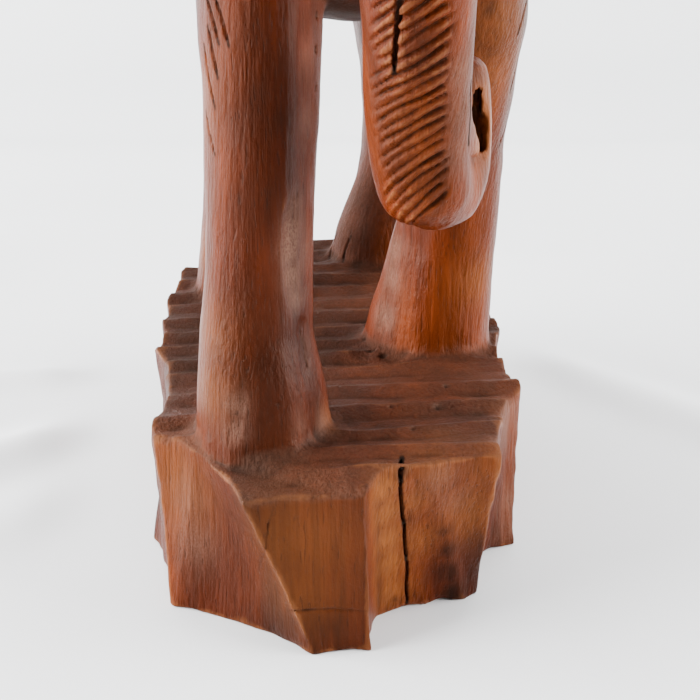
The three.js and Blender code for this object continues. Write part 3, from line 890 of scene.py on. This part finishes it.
def oiled_hardwood():
    """Red brown hardwood with upright grain, open pores and worn edges, with painted shade in its cuts and
    hollows and painted highlights and sheen on pale patches.
    """
    material = bpy.data.materials.new("oiled_hardwood")
    material.use_nodes = True
    tree = material.node_tree
    shader = tree.nodes["Principled BSDF"]
    place = tree.nodes.new("ShaderNodeTexCoord").outputs["Object"]
    broad = noise(tree, place, 14.0, (1, 1, 0.35), 3.0)
    streaks = noise(tree, place, 75.0, (1, 1, 0.07), 5.0, 0.6, 0.3)
    fibres = noise(tree, place, 620.0, (1, 1, 0.04), 2.0)
    pores = noise(tree, place, 1100.0, (1, 1, 0.09), 1.0)
    specks = noise(tree, place, 1500.0, (1, 1, 0.6), 1.0)
    base = ramp(tree, broad, ((0.3, HEARTWOOD), (0.5, RED_BROWN), (0.72, LIGHT_BROWN)))
    figure = ramp(tree, streaks, ((0.3, 0.4), (0.5, 0.9), (0.7, 1.4)))
    colour = mixed(tree, "MULTIPLY", 0.75, base, figure)
    colour = mixed(tree, "MIX", stored(tree, "amber"), colour, YELLOW_BROWN)
    # Pale patches: pale chips, and painted highlights and sheen.
    specked = ramp(tree, specks, ((0.35, 0.45), (0.6, 1.0)))
    pale_and_sheen = worked(tree, "MULTIPLY", stored(tree, "pale_and_sheen"), specked)
    colour = mixed(tree, "MIX", pale_and_sheen, colour, PALE_WOOD_AND_SHEEN)
    fine = ramp(tree, fibres, ((0.35, 0.72), (0.65, 1.12)))
    colour = mixed(tree, "MULTIPLY", 0.6, colour, fine)
    pore = ramp(tree, pores, ((0.28, 0.3), (0.36, 1.0)))
    colour = mixed(tree, "MULTIPLY", 0.5, colour, pore)
    streaked = ramp(tree, streaks, ((0.3, 0.4), (0.7, 1.2)))
    worn = ramp(tree, worked(tree, "MULTIPLY", stored(tree, "edge"), streaked), ((0.5, 0.0), (1.0, 0.5)))
    colour = mixed(tree, "MIX", worn, colour, RUBBED_EDGE)
    # Painted shade in the hollows.
    deep = ramp(tree, worked(tree, "MULTIPLY", stored(tree, "edge"), -1.0), ((0.15, 0.0), (0.9, 0.75)))
    colour = mixed(tree, "MIX", deep, colour, PAINTED_RECESS_SHADE)
    # Stains and painted shade from the dark attribute.
    colour = mixed(tree, "MIX", stored(tree, "dark"), colour, DARK_STAINS_AND_PAINTED_SHADE)
    link(tree, colour, shader.inputs["Base Color"])
    dull = worked(tree, "ADD", stored(tree, "dark"), stored(tree, "pale_and_sheen"))
    dull = worked(tree, "ADD", dull, worked(tree, "MULTIPLY", broad, 0.35))
    rough = ramp(tree, dull, ((0.1, 0.3), (1.2, 0.75)))
    link(tree, rough, shader.inputs["Roughness"])
    shader.inputs["Specular IOR Level"].default_value = 0.12
    shader.inputs["Specular Tint"].default_value = (1.0, 0.6, 0.42, 1.0)
    grit = noise(tree, place, 520.0, (1, 1, 0.5), 5.0, 0.75)
    worked_face = noise(tree, place, 130.0, (1, 1, 0.4), 3.0, 0.6)
    bump = tree.nodes.new("ShaderNodeBump")
    bump.inputs["Strength"].default_value = 0.8
    bump.inputs["Distance"].default_value = 0.0006
    height = mixed(tree, "ADD", 1.0, mixed(tree, "MULTIPLY", 0.6, fine, pore), grit)
    height = mixed(tree, "ADD", 1.0, height, worked(tree, "MULTIPLY", worked_face, 2.0))
    link(tree, height, bump.inputs["Height"])
    link(tree, bump.outputs["Normal"], shader.inputs["Normal"])
    return material


def cloth_material():
    """Matt white cloth."""
    material = bpy.data.materials.new("white_cloth")
    material.use_nodes = True
    shader = material.node_tree.nodes["Principled BSDF"]
    shader.inputs["Base Color"].default_value = (0.84, 0.85, 0.86, 1)
    shader.inputs["Roughness"].default_value = 0.95
    shader.inputs["Specular IOR Level"].default_value = 0.1
    return material


# Soft folds of the cloth, in metres: two points that a fold's ridge passes, its width and height, and the
# side of the photograph that it is on, -1 for left, 1 for right or 0 for both.
FOLDS = (
    ((-0.186, 0.150), (-0.109, 0.162), 0.014, 0.006, -1),
    ((-0.175, 0.035), (-0.107, 0.082), 0.020, 0.009, -1),
    ((-0.200, -0.060), (-0.110, -0.010), 0.030, 0.004, -1),
    ((0.150, 0.120), (0.230, 0.010), 0.022, 0.006, 1),
    ((0.160, 0.330), (0.300, 0.350), 0.040, 0.008, 1),
    ((-0.160, 0.420), (0.200, 0.520), 0.060, 0.012, 0),
    ((-0.200, 0.700), (0.200, 0.640), 0.070, 0.016, 0),
)


def cloth_lift(x, y):
    """The height of the cloth's folds at a place, in metres. It lies flat under the carving."""
    clear = smooth_step(0.0, 0.05, max(abs(x) - 0.11, abs(y) - 0.22))
    lift = 0.0
    for (x0, y0), (x1, y1), width, height, side in FOLDS:
        length = math.hypot(x1 - x0, y1 - y0)
        across = ((x - x0) * (y1 - y0) - (y - y0) * (x1 - x0)) / length
        bend = 0.01 * math.sin(14 * x + 40 * height * 100)
        shown = smooth_step(0.1, 0.17, side * x) * smooth_step(1.2, 0.5, side * x) if side else 1.0
        lift += height * shown * math.exp(-(((across + bend) / width) ** 2))
    ripple = 0.004 * (1 + math.sin(9 * x + 3 * y) * math.sin(7 * y - 4 * x))
    lift += ripple * smooth_step(0.15, 0.6, math.hypot(x, y))
    return clear * lift


def make_stage():
    """A white cloth in soft folds that rises behind the carving. Its points are closest in the middle."""
    count = 341
    closeness = 3.4
    half_width = 3.6
    half_length = 4.6
    spread = np.sinh(closeness * np.linspace(-1, 1, count)) / math.sinh(closeness)
    across = half_width * spread
    along = half_length * spread
    back = 1.1
    radius = 0.6
    arc = radius * math.pi / 2
    points = []
    for s in along:
        for x in across:
            if s < back:
                points.append((x, s, cloth_lift(x, s)))
                continue
            angle = min((s - back) / radius, math.pi / 2)
            risen = math.sin(angle)
            wave = 0.02 * math.sin(5 * x + 1.3) + 0.012 * math.sin(11 * x + 2 * s)
            y = back + radius * risen - wave * risen
            z = radius * (1 - math.cos(angle)) + max(0, s - back - arc)
            points.append((x, y, z + cloth_lift(x, back) * (1 - risen)))
    faces = []
    for j in range(count - 1):
        for i in range(count - 1):
            a = j * count + i
            faces.append((a, a + 1, a + 1 + count, a + count))
    mesh = bpy.data.meshes.new("cloth")
    mesh.from_pydata(points, [], faces)
    mesh.polygons.foreach_set("use_smooth", [True] * len(faces))
    cloth = bpy.data.objects.new("cloth", mesh)
    cloth.data.materials.append(cloth_material())
    bpy.context.scene.collection.objects.link(cloth)


def soft_light(name, place, target, size, radiance):
    """A rectangular softbox. Its brightness is given per area, so that a resized box keeps it."""
    data = bpy.data.lights.new(name, "AREA")
    data.shape = "RECTANGLE"
    data.size, data.size_y = size
    data.energy = radiance * math.pi * size[0] * size[1]
    light = bpy.data.objects.new(name, data)
    light.location = place
    light.visible_camera = False
    light.rotation_mode = "QUATERNION"
    light.rotation_quaternion = (Vector(target) - Vector(place)).to_track_quat("-Z", "Y")
    bpy.context.scene.collection.objects.link(light)


def make_lights():
    """Two large softboxes at the sides, a little towards the camera, and one above for the cloth."""
    middle = (0, 0, 0.2)
    soft_light("left_softbox", (-2.0, -0.1, 0.75), middle, (2.1, 1.6), 26)
    soft_light("right_softbox", (2.0, -0.5, 0.75), middle, (2.0, 1.5), 18)
    soft_light("cloth_softbox", (0, 0.4, 3.0), (0, 0.4, 0), (3.0, 2.0), 6)
    world = bpy.data.worlds.new("studio")
    bpy.context.scene.world = world
    world.use_nodes = True
    background = world.node_tree.nodes["Background"]
    background.inputs["Color"].default_value = (1, 1, 1, 1)
    background.inputs["Strength"].default_value = 0.12


make_camera()
clay = Clay(*node_mesh("elephant_carving"))
soften_figure(clay)
rub(clay, 0.6)
photo_eye = PhotoEye(clay)
carve_trunk_grooves(clay)
dark_paths = cut_marks(clay, photo_eye)
dark_paths += finish_unseen_parts(clay)
tear_nostril(clay, photo_eye)
elephant = make_piece(clay, "elephant", [path for path, *_ in dark_paths])
add_attributes(clay, photo_eye, elephant, dark_paths)
elephant.data.materials.append(oiled_hardwood())
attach(elephant, "root")
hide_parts("elephant_carving")
make_stage()
make_lights()
